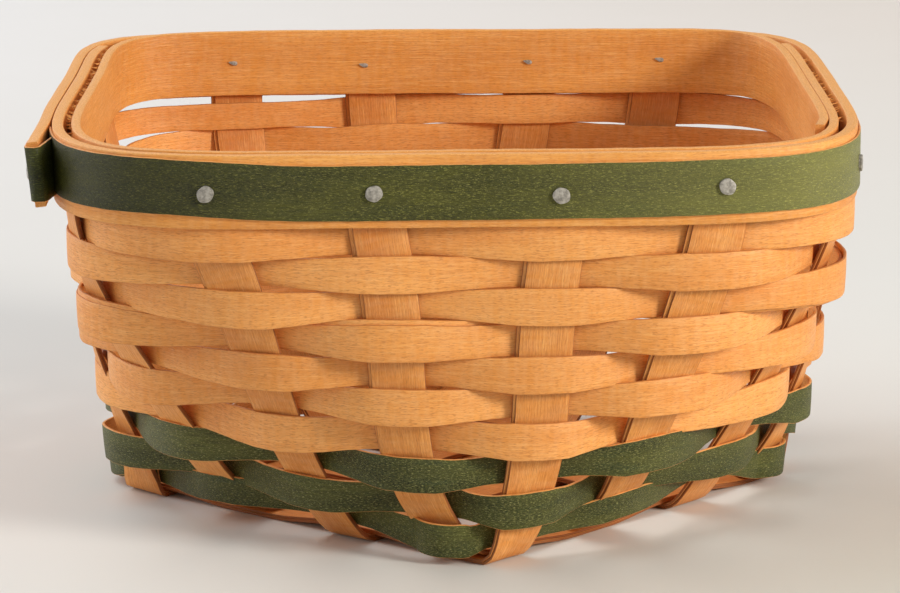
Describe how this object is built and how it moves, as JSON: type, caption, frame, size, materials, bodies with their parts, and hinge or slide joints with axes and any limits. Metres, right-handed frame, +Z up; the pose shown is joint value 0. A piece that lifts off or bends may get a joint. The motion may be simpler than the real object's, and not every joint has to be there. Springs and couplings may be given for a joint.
{
  "type": "splint basket",
  "caption": "Small open woven splint basket: square base turned under a flared square rim, tan weavers, dark green lowest rows and rim trim, tacked double rim bands.",
  "frame": {"origin": "centre of the bounding box seen from above, on the level that the base stands on", "axes": "+Z up, +Y towards the back, +X to the right seen from the front; the rim's sides lie along X and Y and the rim's free end is at the front left"},
  "size_m": [0.2254, 0.2186, 0.115],
  "materials": {
    "stake_splint": "thin honey tan splint with a satin face, fine dark flecks along the grain",
    "weaver_splint": "thin honey tan splint with a satin face, fine dark flecks along the grain",
    "green_splint": "splint stained dark green on its outer face only, edges and back left tan",
    "rim_splint": "thick honey tan band splint, satin, bare sawn edges",
    "green_trim": "thin strip stained dark green on its outer face, matt, with the grain showing",
    "tack_steel": "dull grey steel"
  },
  "bodies": {
    "root": {"stake_a1_outer_ply": "stake_splint", "stake_a1_inner_ply": "stake_splint", "stake_a2_outer_ply": "stake_splint", "stake_a2_inner_ply": "stake_splint", "stake_a3_outer_ply": "stake_splint", "stake_a3_inner_ply": "stake_splint", "stake_a4_outer_ply": "stake_splint", "stake_a4_inner_ply": "stake_splint", "stake_b1_outer_ply": "stake_splint", "stake_b1_inner_ply": "stake_splint", "stake_b2_outer_ply": "stake_splint", "stake_b2_inner_ply": "stake_splint", "stake_b3_outer_ply": "stake_splint", "stake_b3_inner_ply": "stake_splint", "stake_b4_outer_ply": "stake_splint", "stake_b4_inner_ply": "stake_splint", "weaver_01": "weaver_splint", "weaver_02": "weaver_splint", "weaver_03": "weaver_splint", "weaver_04": "weaver_splint", "weaver_05": "weaver_splint", "weaver_06": "weaver_splint", "weaver_07": "weaver_splint", "weaver_08": "green_splint", "weaver_09": "green_splint", "weaver_10": "green_splint", "outer_band": "rim_splint", "inner_band": "rim_splint", "trim_strip": "green_trim", "tack_front_1": "tack_steel", "tack_front_2": "tack_steel", "tack_front_3": "tack_steel", "tack_front_4": "tack_steel", "tack_right_1": "tack_steel", "tack_right_2": "tack_steel", "tack_right_3": "tack_steel", "tack_right_4": "tack_steel", "tack_back_1": "tack_steel", "tack_back_2": "tack_steel", "tack_back_3": "tack_steel", "tack_back_4": "tack_steel", "tack_left_1": "tack_steel", "tack_left_2": "tack_steel", "tack_left_3": "tack_steel", "tack_left_4": "tack_steel"}
  },
  "joints": []
}
